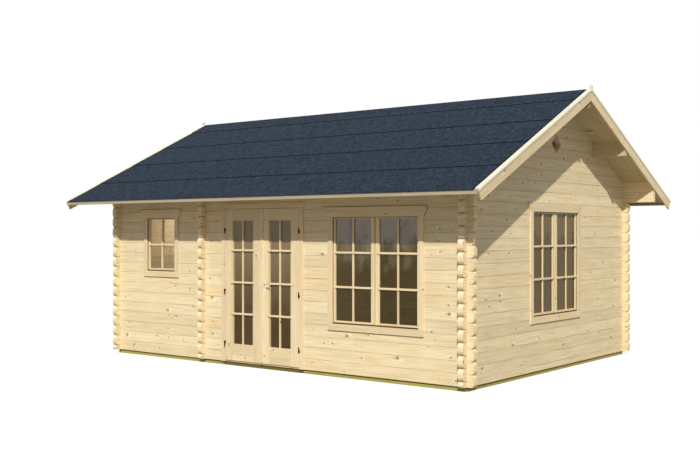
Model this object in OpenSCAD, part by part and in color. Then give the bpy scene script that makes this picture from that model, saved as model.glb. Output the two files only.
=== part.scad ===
// Log cabin with two rooms, a glazed double door, three windows and a felted saddle roof.
// Millimetres. The origin is on the ground below the middle of the ridge, +Z is up,
// the front wall faces -Y and the ridge runs along X.

/* [Logs] */
// Thickness of the wall logs
log_t = 70; // [66:1:76]
// Height of one course of logs
course = 140; // [138:1:142]
// Number of courses up to the eaves
courses = 17; // [17:1:18]
// How far the log ends run past the wall that they cross
log_end = 85; // [60:5:110]
// Radius that rounds the corners of the log ends
log_end_r = 42; // [20:1:46]
// Depth of the V joint between two courses
v_depth = 3; // [2:1:7]

/* [Plan] */
// Length of the walls along the ridge, over the outer faces
wall_l = 5850; // [5800:10:6000]
// Depth of the walls, over the outer faces
wall_d = 4290; // [4200:10:4500]
// Place of the partition's centre line
partition_x = -1143; // [-1200:1:-1120]
// Width of the doorway in the partition
inner_door_w = 800; // [700:10:900]
// Height of the doorway in the partition
inner_door_h = 1980; // [1900:10:2020]

/* [Base] */
// Height of the treated beams below the walls
beam_h = 50; // [45:1:60]
// Width of the treated beams
beam_w = 70; // [60:1:80]
// How far the walls stand out past the beams
beam_inset = 20; // [10:1:30]
// Number of joists along the cabin, with the two below the gables
joist_count = 11; // [9:1:12]
// Width of a joist between the gables
joist_w = 45; // [40:1:60]
// Thickness of the floor boards
floor_t = 19; // [18:1:28]

/* [Roof] */
// Slope of the roof in degrees
pitch = 26; // [25:0.5:27]
// Height of the roof boards' underside at the walls' outer faces, above the beams
plate_top = 2360; // [2350:1:2365]
// Overhang past the gables, to the bargeboards' outer faces
gable_overhang = 475; // [400:5:550]
// Distance of the roof boards' eave from the ridge, in plan
eave_y = 2672; // [2650:1:2750]
// Thickness of the roof boards
board_t = 19; // [18:1:22]
// Thickness of one layer of felt
felt_t = 4; // [3:0.5:4]
// Width of the felt that shows below each lap
felt_strip = 670; // [600:10:700]
// Half width of the strip of felt over the ridge
ridge_strip = 350; // [250:10:400]
// Width and depth of the purlins
purlin = [70, 200]; // [60:1:200]
// Distance of the side purlins' inner faces from the ridge, in plan
purlin_y = 1071; // [900:1:1200]
// How far the front purlin and the front plate logs end short of the bargeboards
front_stop = 150; // [0:10:250]
// Thickness and depth of the bargeboards
barge = [28, 107]; // [20:1:130]
// Width and thickness of the boards that cap the bargeboards
cap = [64, 26]; // [18:1:120]
// Width and height of the blocks on the ridge at the gables
ridge_block = [50, 45]; // [10:1:80]
// Thickness and height of the boards along the eaves
fascia = [18, 48]; // [15:1:60]
// Width and height of the diamond-shaped vents in the gables
vent = [260, 240]; // [180:10:280]
// Height of the vents' centres above the beams
vent_z = 2785; // [2700:5:2850]

/* [Windows] */
// Daylight width inside the casing of the front and gable windows
wide_w = 1234; // [1200:1:1250]
// Daylight height inside their casing
wide_h = 1270; // [1200:1:1270]
// Place of the front window's centre
front_window_x = 1680; // [1660:1:1700]
// Height of the front window's daylight above the beams
front_window_z = 590; // [560:1:600]
// Place of the gable window's centre
gable_window_y = -20; // [-60:1:60]
// Height of the gable window's daylight above the beams
gable_window_z = 660; // [640:1:680]
// Daylight width of the small window
small_w = 562; // [540:1:580]
// Daylight height of the small window
small_h = 732; // [700:1:740]
// Place of the small window's centre
small_window_x = -1982; // [-2000:1:-1970]
// Height of the small window's daylight above the beams
small_window_z = 1144; // [1120:1:1160]
// Width of the sashes' stiles and rails
sash_rail = 57; // [50:1:66]
// Thickness of the sashes
sash_t = 38; // [34:1:44]
// Distance of the sashes behind the logs' outer face
sash_set_back = 10; // [5:1:20]
// Thickness of the window and door glass
glass_t = 4; // [4:1:6]

/* [Casings] */
// Thickness of the boards round the windows and the door
casing_t = 18; // [15:1:22]
// Width of the side boards round the windows
casing_w = 69; // [60:1:75]
// Height of the board over the windows
head_h = 120; // [100:1:120]
// How far the board over the windows runs past the side boards, at its foot and at its top
ear = [7, 47]; // [5:1:50]
// Height of the board below the windows
apron_h = 80; // [60:1:85]

/* [Door] */
// Place of the double door's centre
door_x = -95; // [-110:1:-80]
// Width of one leaf
leaf_w = 630; // [620:1:635]
// Thickness of the leaves
leaf_t = 40; // [38:1:42]
// Height of the leaves' underside above the beams
leaf_z = 20; // [18:1:25]
// Height of the leaves
leaf_h = 1958; // [1940:1:1960]
// Width of the leaves' stiles
stile_w = 129; // [120:1:135]
// Height of the leaves' lower and upper rails
leaf_rails = [215, 146]; // [140:1:240]
// Gap round the leaves
leaf_gap = 5; // [5:0.5:6]
// Gap between the two leaves
meeting_gap = 9; // [9:0.5:10]
// Thickness of the door's jambs
jamb_t = 35; // [30:1:40]
// Width of the side boards round the door
door_casing_w = 58; // [50:1:60]
// Heights of the hinges' middles above the beams
hinge_z = [235, 910, 1700]; // [180:1:1750]
// Height of the lever above the beams
lever_z = 1010; // [980:1:1050]

/* [Hidden] */

// Steps in the quarter circle that rounds a log end
arc_n = 4;

// Heights of the joints in the front and back walls, and in the crossing walls,
// which start with half a log so that the two sets of logs lock
plate_z = (courses - 2)*course;
eave_joints = [for (k = [0:courses - 2]) k*course];
plate_joints = [plate_z, plate_z + course, plate_z + 2*course + v_depth*8];
gable_joints = [0, for (k = [0:courses + 9]) (k + 0.5)*course];
gable_split = (courses - 1.5)*course;

// Centre lines of the walls
front_y = -(wall_d - log_t)/2;
gable_x = (wall_l - log_t)/2;
face_y = -wall_d/2;
roof_half = wall_l/2 + gable_overhang;
front_half = roof_half - barge[0] - front_stop;

// The roof's top plane passes over the ridge at this height above the beams
ridge_top = plate_top + wall_d/2*tan(pitch) + board_t/cos(pitch);
felt_lap = 2*felt_t - 0.5;
seat_gap = 0.1;
cap_lift = seat_gap - board_t;
eave_s = (eave_y - cap_lift*sin(pitch))/cos(pitch);

// Sashes reach behind the casing by these amounts at the sides, foot and head
lap = [28, 21, 41];
lining_t = 22;
sash_gap = 2;

// The double door
door_half = leaf_w + meeting_gap/2 + leaf_gap;
door_top = leaf_z + leaf_h + leaf_gap;
threshold_t = leaf_z - leaf_gap;
leaf_face_y = face_y - casing_t + 3;
pin_r = 4;
knuckle_r = 7;
knuckle_h = 34;
hinge_leaf = 14;
pin_x = door_half - leaf_gap/2;
pin_y = face_y - casing_t - knuckle_r - 0.5;
run_gap = 0.06;
lever_x = 64;
neck_r = 10;

// Points of the elevations and sections

// Quarter circle about [x, z] that starts at angle a, without its first skip points
function quarter(x, z, r, a, skip = 0) = [
    for (i = [skip:arc_n]) [x + r*cos(a + 90*i/arc_n), z + r*sin(a + 90*i/arc_n)]
];

// The rounded ends of a stack of logs, from the lowest joint to the highest
function log_ends(x, joints) = [
    for (k = [0:len(joints) - 2])
        let (r = min(log_end_r, 0.48*(joints[k + 1] - joints[k])))
            each concat(quarter(x - r, joints[k] + r, r, -90, k == 0 ? 0 : 1),
                        quarter(x - r, joints[k + 1] - r, r, 0))
];

// One face of a stack of logs in section, with a V at each joint
function log_face(joints) = let (n = len(joints) - 1, x = log_t/2) concat(
    [[x - v_depth, joints[0]], [x, joints[0] + v_depth]],
    [for (k = [1:1:n - 1]) each
        [[x, joints[k] - v_depth], [x - v_depth, joints[k]], [x, joints[k] + v_depth]]],
    [[x, joints[n] - v_depth], [x - v_depth, joints[n]]]);

// An outline that is its right half and the mirror image of it
function both_sides(right) = concat(right,
    [for (i = [len(right) - 1:-1:0]) [-right[i][0], right[i][1]]]);

// Point of the front slope at a distance s down from the ridge and n above the boards
function slope_pt(s, n) = [-s*cos(pitch) - n*sin(pitch), ridge_top - s*sin(pitch) + n*cos(pitch)];

// Point of the front slope at a distance y from the ridge in plan and n above the boards
function plumb_pt(y, n) = slope_pt((y - n*sin(pitch))/cos(pitch), n);

// Walls

// Elevation of a stack of logs whose wall has its outer faces at -half and half
module log_stack(half, joints) {
    polygon(both_sides(log_ends(half + log_end, joints)));
}

// Places where the crossing logs pass through the front and back walls
module eave_notches(xs) {
    for (x = xs, k = [0:courses])
        translate([x - log_t/2, (k - 0.25)*course]) square([log_t, course/2]);
}

// Places where the front and back logs pass through a gable or the partition
module gable_notches() {
    for (x = [front_y, -front_y], k = [0:courses - 1])
        translate([x - log_t/2, (k + 0.25)*course]) square([log_t, course/2]);
}

// A log wall along X on Y = 0: the children are its elevation
module log_wall(joints) {
    intersection() {
        rotate([90, 0, 0]) linear_extrude(log_t, center = true) children();
        rotate([90, 0, 90]) linear_extrude(2*roof_half + 10, center = true)
            polygon(both_sides(log_face(joints)));
    }
}

// A log wall turned to run along Y
module cross_wall(x) {
    translate([x, 0, beam_h]) rotate([0, 0, 90]) log_wall(gable_joints) children();
}

module front_wall_part(x0, x1) {
    color("wheat") translate([0, front_y, beam_h]) log_wall(eave_joints) difference() {
        intersection() {
            log_stack(wall_l/2, eave_joints);
            translate([x0, 0]) square([x1 - x0, plate_z]);
        }
        eave_notches([-gable_x, partition_x, gable_x]);
        translate([front_window_x, front_window_z]) window_hole(wide_w, wide_h);
        translate([small_window_x, small_window_z]) window_hole(small_w, small_h);
    }
}

module front_wall_left() {
    front_wall_part(-roof_half, door_x - door_half - jamb_t);
}

module front_wall_right() {
    front_wall_part(door_x + door_half + jamb_t, roof_half);
}

module front_wall_over_door() {
    color("wheat") translate([0, front_y, beam_h]) log_wall(eave_joints)
        translate([door_x - door_half - jamb_t, door_top + jamb_t])
            square([2*(door_half + jamb_t), plate_z - door_top - jamb_t]);
}

module back_wall() {
    color("wheat") translate([0, -front_y, beam_h]) log_wall(eave_joints) difference() {
        log_stack(wall_l/2, eave_joints);
        eave_notches([-gable_x, partition_x, gable_x]);
    }
}

// The two top courses run out below the roof and slope with it
module plate_logs(half) {
    color("wheat") translate([0, front_y, beam_h]) intersection() {
        log_wall(plate_joints) difference() {
            translate([-half, plate_z]) square([2*half, plate_joints[2] - plate_z]);
            eave_notches([-gable_x, partition_x, gable_x]);
        }
        translate([0, -front_y, 0]) below_roof();
    }
}

// Everything below the underside of the roof boards
module below_roof() {
    rotate([90, 0, 90]) linear_extrude(2*roof_half, center = true) below_roof_2d();
}

module below_roof_2d() {
    edge = plumb_pt(eave_y, -board_t);
    top = plumb_pt(0, -board_t);
    polygon([[edge[0], -beam_h], edge, top, [-edge[0], edge[1]], [-edge[0], -beam_h]]);
}

// Elevation of a gable, with room for the logs and purlins that pass through it
module gable_2d() {
    difference() {
        intersection() {
            log_stack(wall_d/2, gable_joints);
            below_roof_2d();
        }
        gable_notches();
        ridge_purlin_2d();
        side_purlin_2d();
        mirror([1, 0]) side_purlin_2d();
    }
}

// Diamond-shaped vent below the ridge
module vent_2d() {
    translate([0, vent_z]) polygon([[-vent[0]/2, 0], [0, -vent[1]/2], [vent[0]/2, 0], [0, vent[1]/2]]);
}

module right_gable_wall() {
    color("wheat") cross_wall(gable_x) difference() {
        intersection() {
            gable_2d();
            translate([-wall_d, 0]) square([2*wall_d, gable_split]);
        }
        translate([gable_window_y, gable_window_z]) window_hole(wide_w, wide_h);
    }
}

module right_gable_top() {
    color("wheat") cross_wall(gable_x) difference() {
        gable_2d();
        translate([-wall_d, 0]) square([2*wall_d, gable_split]);
        vent_2d();
    }
}

module left_gable_wall() {
    color("wheat") cross_wall(-gable_x) difference() {
        gable_2d();
        vent_2d();
    }
}

module partition_wall() {
    color("wheat") cross_wall(partition_x) difference() {
        intersection() {
            gable_2d();
            translate([-wall_d, 0]) square([2*wall_d, inner_door_h]);
        }
        translate([-inner_door_w/2, 0]) square([inner_door_w, inner_door_h]);
    }
}

module partition_top() {
    color("wheat") cross_wall(partition_x) difference() {
        gable_2d();
        translate([-wall_d, 0]) square([2*wall_d, inner_door_h]);
    }
}

// Base and floor

module foundation_beams() {
    color("olivedrab") for (side = [-1, 1])
        translate([beam_inset - wall_l/2, side*(wall_d/2 - beam_inset - beam_w/2) - beam_w/2, 0])
            cube([wall_l - 2*beam_inset, beam_w, beam_h]);
}

module foundation_joists() {
    span = wall_l - 2*beam_inset - beam_w;
    length = wall_d - 2*(beam_inset + beam_w);
    color("olivedrab") for (i = [0:joist_count - 1]) {
        w = i == 0 || i == joist_count - 1 ? beam_w : joist_w;
        translate([i*span/(joist_count - 1) - span/2 - w/2, -length/2, 0]) cube([w, length, beam_h]);
    }
}

module floor_boards() {
    gap = 5;
    room = [-wall_l/2 + log_t, partition_x - log_t/2, partition_x + log_t/2, wall_l/2 - log_t];
    color("burlywood") for (i = [0, 2])
        translate([room[i] + gap, face_y + log_t + gap, beam_h])
            cube([room[i + 1] - room[i] - 2*gap, wall_d - 2*(log_t + gap), floor_t]);
}

// Roof

// A length of roof between -half and half whose section is the children
module along_ridge(half) {
    translate([0, 0, beam_h]) rotate([90, 0, 90]) linear_extrude(2*half, center = true) children();
}

module back_slope() {
    mirror([0, 1, 0]) children();
}

module ridge_purlin_2d() {
    w = purlin[0]/2;
    shoulder = plumb_pt(w, -board_t - seat_gap);
    top = plumb_pt(0, -board_t - seat_gap);
    polygon([[-w, top[1] - purlin[1]], [w, top[1] - purlin[1]], [w, shoulder[1]], top, shoulder]);
}

module side_purlin_2d() {
    inner = plumb_pt(purlin_y, -board_t);
    outer = plumb_pt(purlin_y + purlin[0], -board_t);
    foot = inner[1] - purlin[1];
    polygon([outer, [outer[0], foot], [inner[0], foot], inner]);
}

module ridge_purlin() {
    color("tan") along_ridge(roof_half - barge[0]) ridge_purlin_2d();
}

module side_purlins() {
    color("tan") along_ridge(front_half) side_purlin_2d();
    color("tan") back_slope() along_ridge(roof_half - barge[0]) side_purlin_2d();
}

module roof_boards() {
    color("tan") along_ridge(roof_half - cap[0])
        polygon([plumb_pt(0, -board_t), plumb_pt(eave_y, -board_t), plumb_pt(eave_y, 0),
                 plumb_pt(0, 0)]);
}

// The felt lies in strips along the ridge, each lapped over the one below it
module roof_felt() {
    drip_y = eave_y + fascia[0] + 10;
    laps = [for (i = [1:3]) ridge_strip + i*felt_strip];
    color("slategray") along_ridge(roof_half - cap[0]) polygon(concat(
        [plumb_pt(0, felt_t), slope_pt(ridge_strip, felt_t)],
        [for (s = laps) each [slope_pt(s, felt_lap), slope_pt(s, felt_t)]],
        [plumb_pt(drip_y, felt_lap), plumb_pt(drip_y, 0), plumb_pt(0, 0)]));
}

module ridge_felt() {
    right = [slope_pt(ridge_strip, felt_t), slope_pt(ridge_strip, felt_lap), plumb_pt(0, felt_lap)];
    color("slategray") along_ridge(roof_half - cap[0]) polygon(concat(right,
        [[-right[1][0], right[1][1]], [-right[0][0], right[0][1]], plumb_pt(0, felt_t)]));
}

module eave_fascias() {
    inner = plumb_pt(eave_y, -seat_gap);
    outer = plumb_pt(eave_y + fascia[0], -seat_gap);
    color("wheat") for (side = [0, 1]) mirror([0, side, 0]) along_ridge(roof_half - barge[0])
        polygon([inner, outer, [outer[0], outer[1] - fascia[1]], [inner[0], outer[1] - fascia[1]]]);
}

// The children at both ends of the roof, where they are w wide from the outer face inwards
module both_gables(w) {
    for (x = [-roof_half, roof_half - w])
        translate([x, 0, beam_h]) rotate([90, 0, 90]) linear_extrude(w) children();
}

module bargeboards() {
    foot = cap_lift - barge[1];
    color("wheat") both_gables(barge[0]) polygon([plumb_pt(0, foot), slope_pt(eave_s, foot),
        slope_pt(eave_s, cap_lift), plumb_pt(0, cap_lift)]);
}

module barge_caps() {
    top = cap_lift + cap[1];
    color("wheat") both_gables(cap[0]) polygon([plumb_pt(0, cap_lift), plumb_pt(eave_y, cap_lift),
        plumb_pt(eave_y, top), plumb_pt(0, top)]);
}

// The front caps carry the short blocks that close the mitre over the ridge
module front_barge_caps() {
    w = ridge_block[0]/2;
    mitre = plumb_pt(0, cap_lift + cap[1])[1];
    foot = plumb_pt(w, cap_lift + cap[1])[1];
    crown = mitre + ridge_block[1];
    barge_caps();
    color("wheat") both_gables(barge[0]) polygon([[0, mitre - cap[1]/2], [-w, foot - cap[1]/2],
        [-w, crown], [w, crown], [w, foot + seat_gap], [0, mitre + seat_gap]]);
}

// Windows: each is drawn from the middle of its daylight's foot, on the logs' outer face

// Hole in the logs for a window's lining
module window_hole(w, h) {
    edge = sash_gap + lining_t;
    translate([-w/2 - lap[0] - edge, -lap[1] - edge])
        square([w + 2*(lap[0] + edge), h + lap[1] + lap[2] + 2*edge]);
}

module window_frame(w, h) {
    outer = w/2 + casing_w;
    rotate([90, 0, 0]) linear_extrude(casing_t) difference() {
        union() {
            translate([-outer, -apron_h]) square([2*outer, h + apron_h]);
            polygon(both_sides([[outer + ear[0], h], [outer + ear[1], h + head_h]]));
        }
        translate([-w/2, 0]) square([w, h]);
    }
    translate([0, log_t, 0]) rotate([90, 0, 0]) linear_extrude(log_t) difference() {
        window_hole(w, h);
        translate([-w/2 - lap[0] - sash_gap, -lap[1] - sash_gap])
            square([w + 2*(lap[0] + sash_gap), h + lap[1] + lap[2] + 2*sash_gap]);
    }
}

// Width of one of count sashes side by side
function sash_w(w, count) = (w + 2*lap[0] - (count - 1)*sash_gap)/count;

// Draws the children at the lower left corner of each sash
module each_sash(w, count) {
    for (i = [0:count - 1])
        translate([i*(sash_w(w, count) + sash_gap) - w/2 - lap[0], sash_set_back + sash_t, -lap[1]])
            rotate([90, 0, 0]) children();
}

module sashes(w, h, count) {
    size = [sash_w(w, count), h + lap[1] + lap[2]];
    each_sash(w, count) linear_extrude(sash_t) difference() {
        square(size);
        translate([sash_rail, sash_rail]) square(size - 2*[sash_rail, sash_rail]);
    }
}

module panes(w, h, count) {
    size = [sash_w(w, count), h + lap[1] + lap[2]];
    each_sash(w, count) translate([sash_rail, sash_rail, (sash_t - glass_t)/2])
        linear_extrude(glass_t) square(size - 2*[sash_rail, sash_rail]);
}

module at_front_window() {
    translate([front_window_x, face_y, beam_h + front_window_z]) children();
}

module at_gable_window() {
    translate([wall_l/2, gable_window_y, beam_h + gable_window_z]) rotate([0, 0, 90]) children();
}

module at_small_window() {
    translate([small_window_x, face_y, beam_h + small_window_z]) children();
}

module front_window_frame() {
    color("wheat") at_front_window() window_frame(wide_w, wide_h);
}

module front_window_sashes() {
    color("wheat") at_front_window() sashes(wide_w, wide_h, 2);
}

module front_window_glass() {
    color("lightblue", 0.4) at_front_window() panes(wide_w, wide_h, 2);
}

module gable_window_frame() {
    color("wheat") at_gable_window() window_frame(wide_w, wide_h);
}

module gable_window_sashes() {
    color("wheat") at_gable_window() sashes(wide_w, wide_h, 2);
}

module gable_window_glass() {
    color("lightblue", 0.4) at_gable_window() panes(wide_w, wide_h, 2);
}

module small_window_frame() {
    color("wheat") at_small_window() window_frame(small_w, small_h);
}

module small_window_sash() {
    color("wheat") at_small_window() sashes(small_w, small_h, 1);
}

module small_window_glass() {
    color("lightblue", 0.4) at_small_window() panes(small_w, small_h, 1);
}

// Double door: drawn about its centre line, with the left leaf as the right one mirrored

module at_door() {
    translate([door_x, 0, beam_h]) children();
}

module left_side() {
    mirror([1, 0, 0]) children();
}

// Casing on the logs, jambs with a rebate that the leaves close against, and a threshold
module door_frame() {
    stop_y = leaf_face_y + leaf_t + leaf_gap;
    outer = door_half + door_casing_w;
    head = 67;
    inner_y = face_y + log_t;
    color("wheat") at_door() {
        translate([0, face_y, 0]) rotate([90, 0, 0]) linear_extrude(casing_t) difference() {
            union() {
                translate([-outer, 0]) square([2*outer, door_top]);
                polygon(both_sides([[outer, door_top], [outer + ear[1] - ear[0], door_top + head]]));
            }
            translate([-door_half, 0]) square([2*door_half, door_top]);
        }
        translate([0, inner_y, 0]) rotate([90, 0, 0]) linear_extrude(log_t) difference() {
            translate([-door_half - jamb_t, 0]) square([2*(door_half + jamb_t), door_top + jamb_t]);
            translate([-door_half, threshold_t]) square([2*door_half, door_top - threshold_t]);
        }
        translate([0, inner_y, 0]) rotate([90, 0, 0]) linear_extrude(inner_y - stop_y) difference() {
            translate([-door_half, threshold_t]) square([2*door_half, door_top - threshold_t]);
            translate([15 - door_half, threshold_t])
                square([2*(door_half - 15), door_top - 15 - threshold_t]);
        }
    }
}

// Right leaf, with the hole of the lever's spindle
module leaf(spindle) {
    x0 = meeting_gap/2;
    translate([0, leaf_face_y + leaf_t, leaf_z]) rotate([90, 0, 0]) linear_extrude(leaf_t) difference() {
        translate([x0, 0]) square([leaf_w, leaf_h]);
        translate([x0 + stile_w, leaf_rails[0]])
            square([leaf_w - 2*stile_w, leaf_h - leaf_rails[0] - leaf_rails[1]]);
        if (spindle) translate([lever_x, lever_z - leaf_z]) circle(r = 8, $fn = 32);
    }
}

module leaf_glass() {
    translate([meeting_gap/2 + stile_w, leaf_face_y + (leaf_t + glass_t)/2, leaf_z + leaf_rails[0]])
        rotate([90, 0, 0]) linear_extrude(glass_t)
            square([leaf_w - 2*stile_w, leaf_h - leaf_rails[0] - leaf_rails[1]]);
}

// Upper halves of the lift-off hinges, which turn with the right leaf
module leaf_hinges() {
    for (z = hinge_z) translate([pin_x, pin_y, z]) difference() {
        union() {
            cylinder(h = knuckle_h, r = knuckle_r, $fn = 32);
            translate([-9, 0, 0]) cube([8, leaf_face_y - pin_y, knuckle_h]);
            translate([-hinge_leaf, leaf_face_y - pin_y - 2.5, 0])
                cube([hinge_leaf - 2, 2.5, knuckle_h]);
        }
        translate([0, 0, -1]) cylinder(h = knuckle_h + 2, r = pin_r + run_gap, $fn = 32);
    }
}

// Lower halves of the hinges, with their pins, on the right casing
module frame_hinges() {
    for (z = hinge_z) translate([pin_x, pin_y, z]) {
        translate([0, 0, -knuckle_h]) cylinder(h = knuckle_h - 0.5, r = knuckle_r, $fn = 32);
        translate([0, 0, -knuckle_h]) cylinder(h = 2*knuckle_h + 2, r = pin_r, $fn = 32);
        translate([0, knuckle_r - 2.5, -knuckle_h]) cube([hinge_leaf, 3, knuckle_h - 0.5]);
    }
}

module hinge_pins() {
    color("dimgray") at_door() {
        frame_hinges();
        left_side() frame_hinges();
    }
}

module left_door_leaf() {
    color("wheat") at_door() left_side() leaf(false);
}

module left_door_glass() {
    color("lightblue", 0.4) at_door() left_side() leaf_glass();
}

module left_door_hinges() {
    color("dimgray") at_door() left_side() leaf_hinges();
}

// The right leaf carries the strip over the gap, which ends short of the left leaf
module right_door_leaf() {
    strip = [35, 12];
    color("wheat") at_door() {
        leaf(true);
        translate([1.5, leaf_face_y - strip[1], leaf_z]) cube([strip[0], strip[1] + 1, leaf_h]);
    }
}

module right_door_glass() {
    color("lightblue", 0.4) at_door() leaf_glass();
}

module right_door_hinges() {
    color("dimgray") at_door() leaf_hinges();
}

// Plates on both faces of the right leaf, each with the bearing of the lever
module door_lock_plates() {
    plate = [50, 3, 197];
    end_r = plate[0]/2;
    color("silver") at_door() for (y = [leaf_face_y - plate[1], leaf_face_y + leaf_t])
        translate([lever_x, y + plate[1], lever_z]) rotate([90, 0, 0]) linear_extrude(plate[1])
            difference() {
                union() {
                    translate([-end_r, end_r - 130]) square([plate[0], plate[2] - plate[0]]);
                    for (z = [end_r - 130, plate[2] - end_r - 130])
                        translate([0, z]) circle(r = end_r, $fn = 32);
                }
                circle(r = neck_r + run_gap, $fn = 32);
            }
}

// Spindle with a neck and an arm on each side of the leaf
module door_lever() {
    reach = 34;
    arm = [120, 12, 18];
    color("silver") at_door() translate([lever_x, leaf_face_y + leaf_t/2, lever_z]) {
        rotate([90, 0, 0]) cylinder(h = leaf_t + 6, r = 5, center = true, $fn = 32);
        for (side = [0, 1]) mirror([0, side, 0]) {
            translate([0, leaf_t/2 + reach, 0]) rotate([90, 0, 0])
                cylinder(h = reach, r = neck_r, $fn = 32);
            translate([-neck_r, leaf_t/2 + reach, -arm[2]/2]) cube(arm);
        }
    }
}

foundation_beams();
foundation_joists();
floor_boards();
front_wall_left();
front_wall_right();
front_wall_over_door();
plate_logs(front_half);  // front_plate_logs
back_wall();
back_slope() plate_logs(roof_half - barge[0]);  // back_plate_logs
right_gable_wall();
right_gable_top();
left_gable_wall();
partition_wall();
partition_top();
ridge_purlin();
side_purlins();
roof_boards();  // front_roof_boards
back_slope() roof_boards();  // back_roof_boards
roof_felt();  // front_roof_felt
back_slope() roof_felt();  // back_roof_felt
ridge_felt();
eave_fascias();
bargeboards();  // front_bargeboards
back_slope() bargeboards();  // back_bargeboards
front_barge_caps();
back_slope() barge_caps();  // back_barge_caps
front_window_frame();
front_window_sashes();
front_window_glass();
gable_window_frame();
gable_window_sashes();
gable_window_glass();
small_window_frame();
small_window_sash();
small_window_glass();
door_frame();
hinge_pins();
left_door_leaf();
left_door_glass();
left_door_hinges();
right_door_leaf();
right_door_glass();
right_door_hinges();
door_lock_plates();
door_lever();
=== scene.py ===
import math
import random

import bmesh
import bpy
from mathutils import Matrix, Vector


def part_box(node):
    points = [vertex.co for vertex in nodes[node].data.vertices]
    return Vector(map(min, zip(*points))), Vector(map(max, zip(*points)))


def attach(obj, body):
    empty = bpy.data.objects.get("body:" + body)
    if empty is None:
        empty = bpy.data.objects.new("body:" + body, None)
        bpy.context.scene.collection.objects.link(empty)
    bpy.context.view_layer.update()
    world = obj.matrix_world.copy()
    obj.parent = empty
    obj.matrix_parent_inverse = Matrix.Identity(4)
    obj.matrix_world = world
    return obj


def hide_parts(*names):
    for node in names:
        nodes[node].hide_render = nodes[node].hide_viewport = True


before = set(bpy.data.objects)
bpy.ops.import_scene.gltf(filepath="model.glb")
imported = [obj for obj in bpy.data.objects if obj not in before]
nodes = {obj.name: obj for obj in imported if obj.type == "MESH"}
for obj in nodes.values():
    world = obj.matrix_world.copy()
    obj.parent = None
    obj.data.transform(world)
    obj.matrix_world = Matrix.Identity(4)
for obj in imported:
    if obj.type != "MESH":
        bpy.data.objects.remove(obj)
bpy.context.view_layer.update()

# Sizes in metres, as the solids have them; of a width and a height, the height comes last
BASE = 0.05
COURSE = 0.14
LOG_T = 0.07
WALL_L = 5.85
WALL_D = 4.29
FACE_Y = -WALL_D / 2
PITCH = math.radians(26)
COS, SIN = math.cos(PITCH), math.sin(PITCH)
PLATE_TOP = BASE + 2.36
BOARD_T = 0.019
EAVE_Y = 2.672
ROOF_HALF = WALL_L / 2 + 0.475
PARTITION_X = -1.143
RIDGE_TOP = PLATE_TOP + WALL_D / 2 * math.tan(PITCH) + BOARD_T / COS
FELT_STRIP = 0.67
RIDGE_STRIP = 0.35
FELT_TOP = 0.0075
BARGE = (0.028, 0.107)
CAP = (0.064, 0.026)
CAP_LIFT = 0.0001 - BOARD_T
EAVE_S = (EAVE_Y - CAP_LIFT * SIN) / COS
RIDGE_BLOCK = (0.05, 0.045)
FASCIA = (0.018, 0.048)
BARGE_SET = 0.008
CAP_SET = 0.001

WIDE = (1.234, 1.27)
SMALL = (0.562, 0.732)
LAP = (0.028, 0.021, 0.041)  # of the casing over a sash: sides, foot, head
LINING_T = 0.022
SASH_GAP = 0.002
SASH_RAIL = 0.057
SASH_FACE = 0.010
SASH_T = 0.038
MEETING_REBATE = (0.006, 0.018)  # width, depth
SHADE_STRIP = 0.007
GLASS_T = 0.004
CASING_T = 0.018
CASING_W = 0.069
HEAD_H = 0.12
APRON_H = 0.08
EAR = (0.007, 0.047)  # sweep of a head board's end at its foot, at its top

DOOR_X = -0.095
LEAF_W = 0.63
LEAF_T = 0.04
LEAF_Z = 0.02
LEAF_H = 1.958
LEAF_FACE = FACE_Y - CASING_T + 0.003
STILE_W = 0.129
LEAF_RAILS = (0.215, 0.146)  # lower, upper
LEAF_GAP = 0.005
MEETING_GAP = 0.009
STRIP = (0.0015, 0.0365)  # from, to
JAMB_T = 0.035
DOOR_CASING_W = 0.058
DOOR_HEAD_H = 0.067
DOOR_HALF = LEAF_W + MEETING_GAP / 2 + LEAF_GAP
DOOR_TOP = LEAF_Z + LEAF_H + LEAF_GAP
DOOR_STOP = 0.015
HINGE_Z = (0.235, 0.91, 1.70)
LEVER = (0.064, 1.01)  # across, up

# Details of the visual model alone
EDGE = 0.002
BEAD = 0.003
GLAZING_TAPE = (0.003, 0.024, 0.003)  # from, to, thickness
DRIP = 0.016
BAR_W = 0.024
BAR_PROUD = 0.010
BAR_LAP = 0.023
PANE_GAP = 0.0005
BOARD_GAP = 0.0006
DOOR_RAIL_JOINT = 0.082

ALONG, UP, OUT = (1, 0, 0), (0, 0, 1), (0, -1, 0)


def shade(red, green, blue):
    """A colour as linear light, from its levels out of 255 on the screen."""
    def light(level):
        part = level / 255
        return part / 12.92 if part <= 0.04045 else ((part + 0.055) / 1.055) ** 2.4
    return (light(red), light(green), light(blue), 1.0)


def scaled(colour, factor):
    return tuple(min(1.0, part * factor) for part in colour[:3]) + (1.0,)


# Materials

def add_node(tree, kind, settings=None, inputs=None):
    """A new node in a tree. An input is a value, or the socket that is linked to it."""
    made = tree.nodes.new(kind)
    for name, value in (settings or {}).items():
        setattr(made, name, value)
    for name, value in (inputs or {}).items():
        if isinstance(value, bpy.types.NodeSocket):
            tree.links.new(value, made.inputs[name])
        else:
            made.inputs[name].default_value = value
    return made


def by_node(operation):
    """A method that does its maths in a node."""
    def method(self, *others):
        return self.maths(operation, self, *others)
    return method


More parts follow.
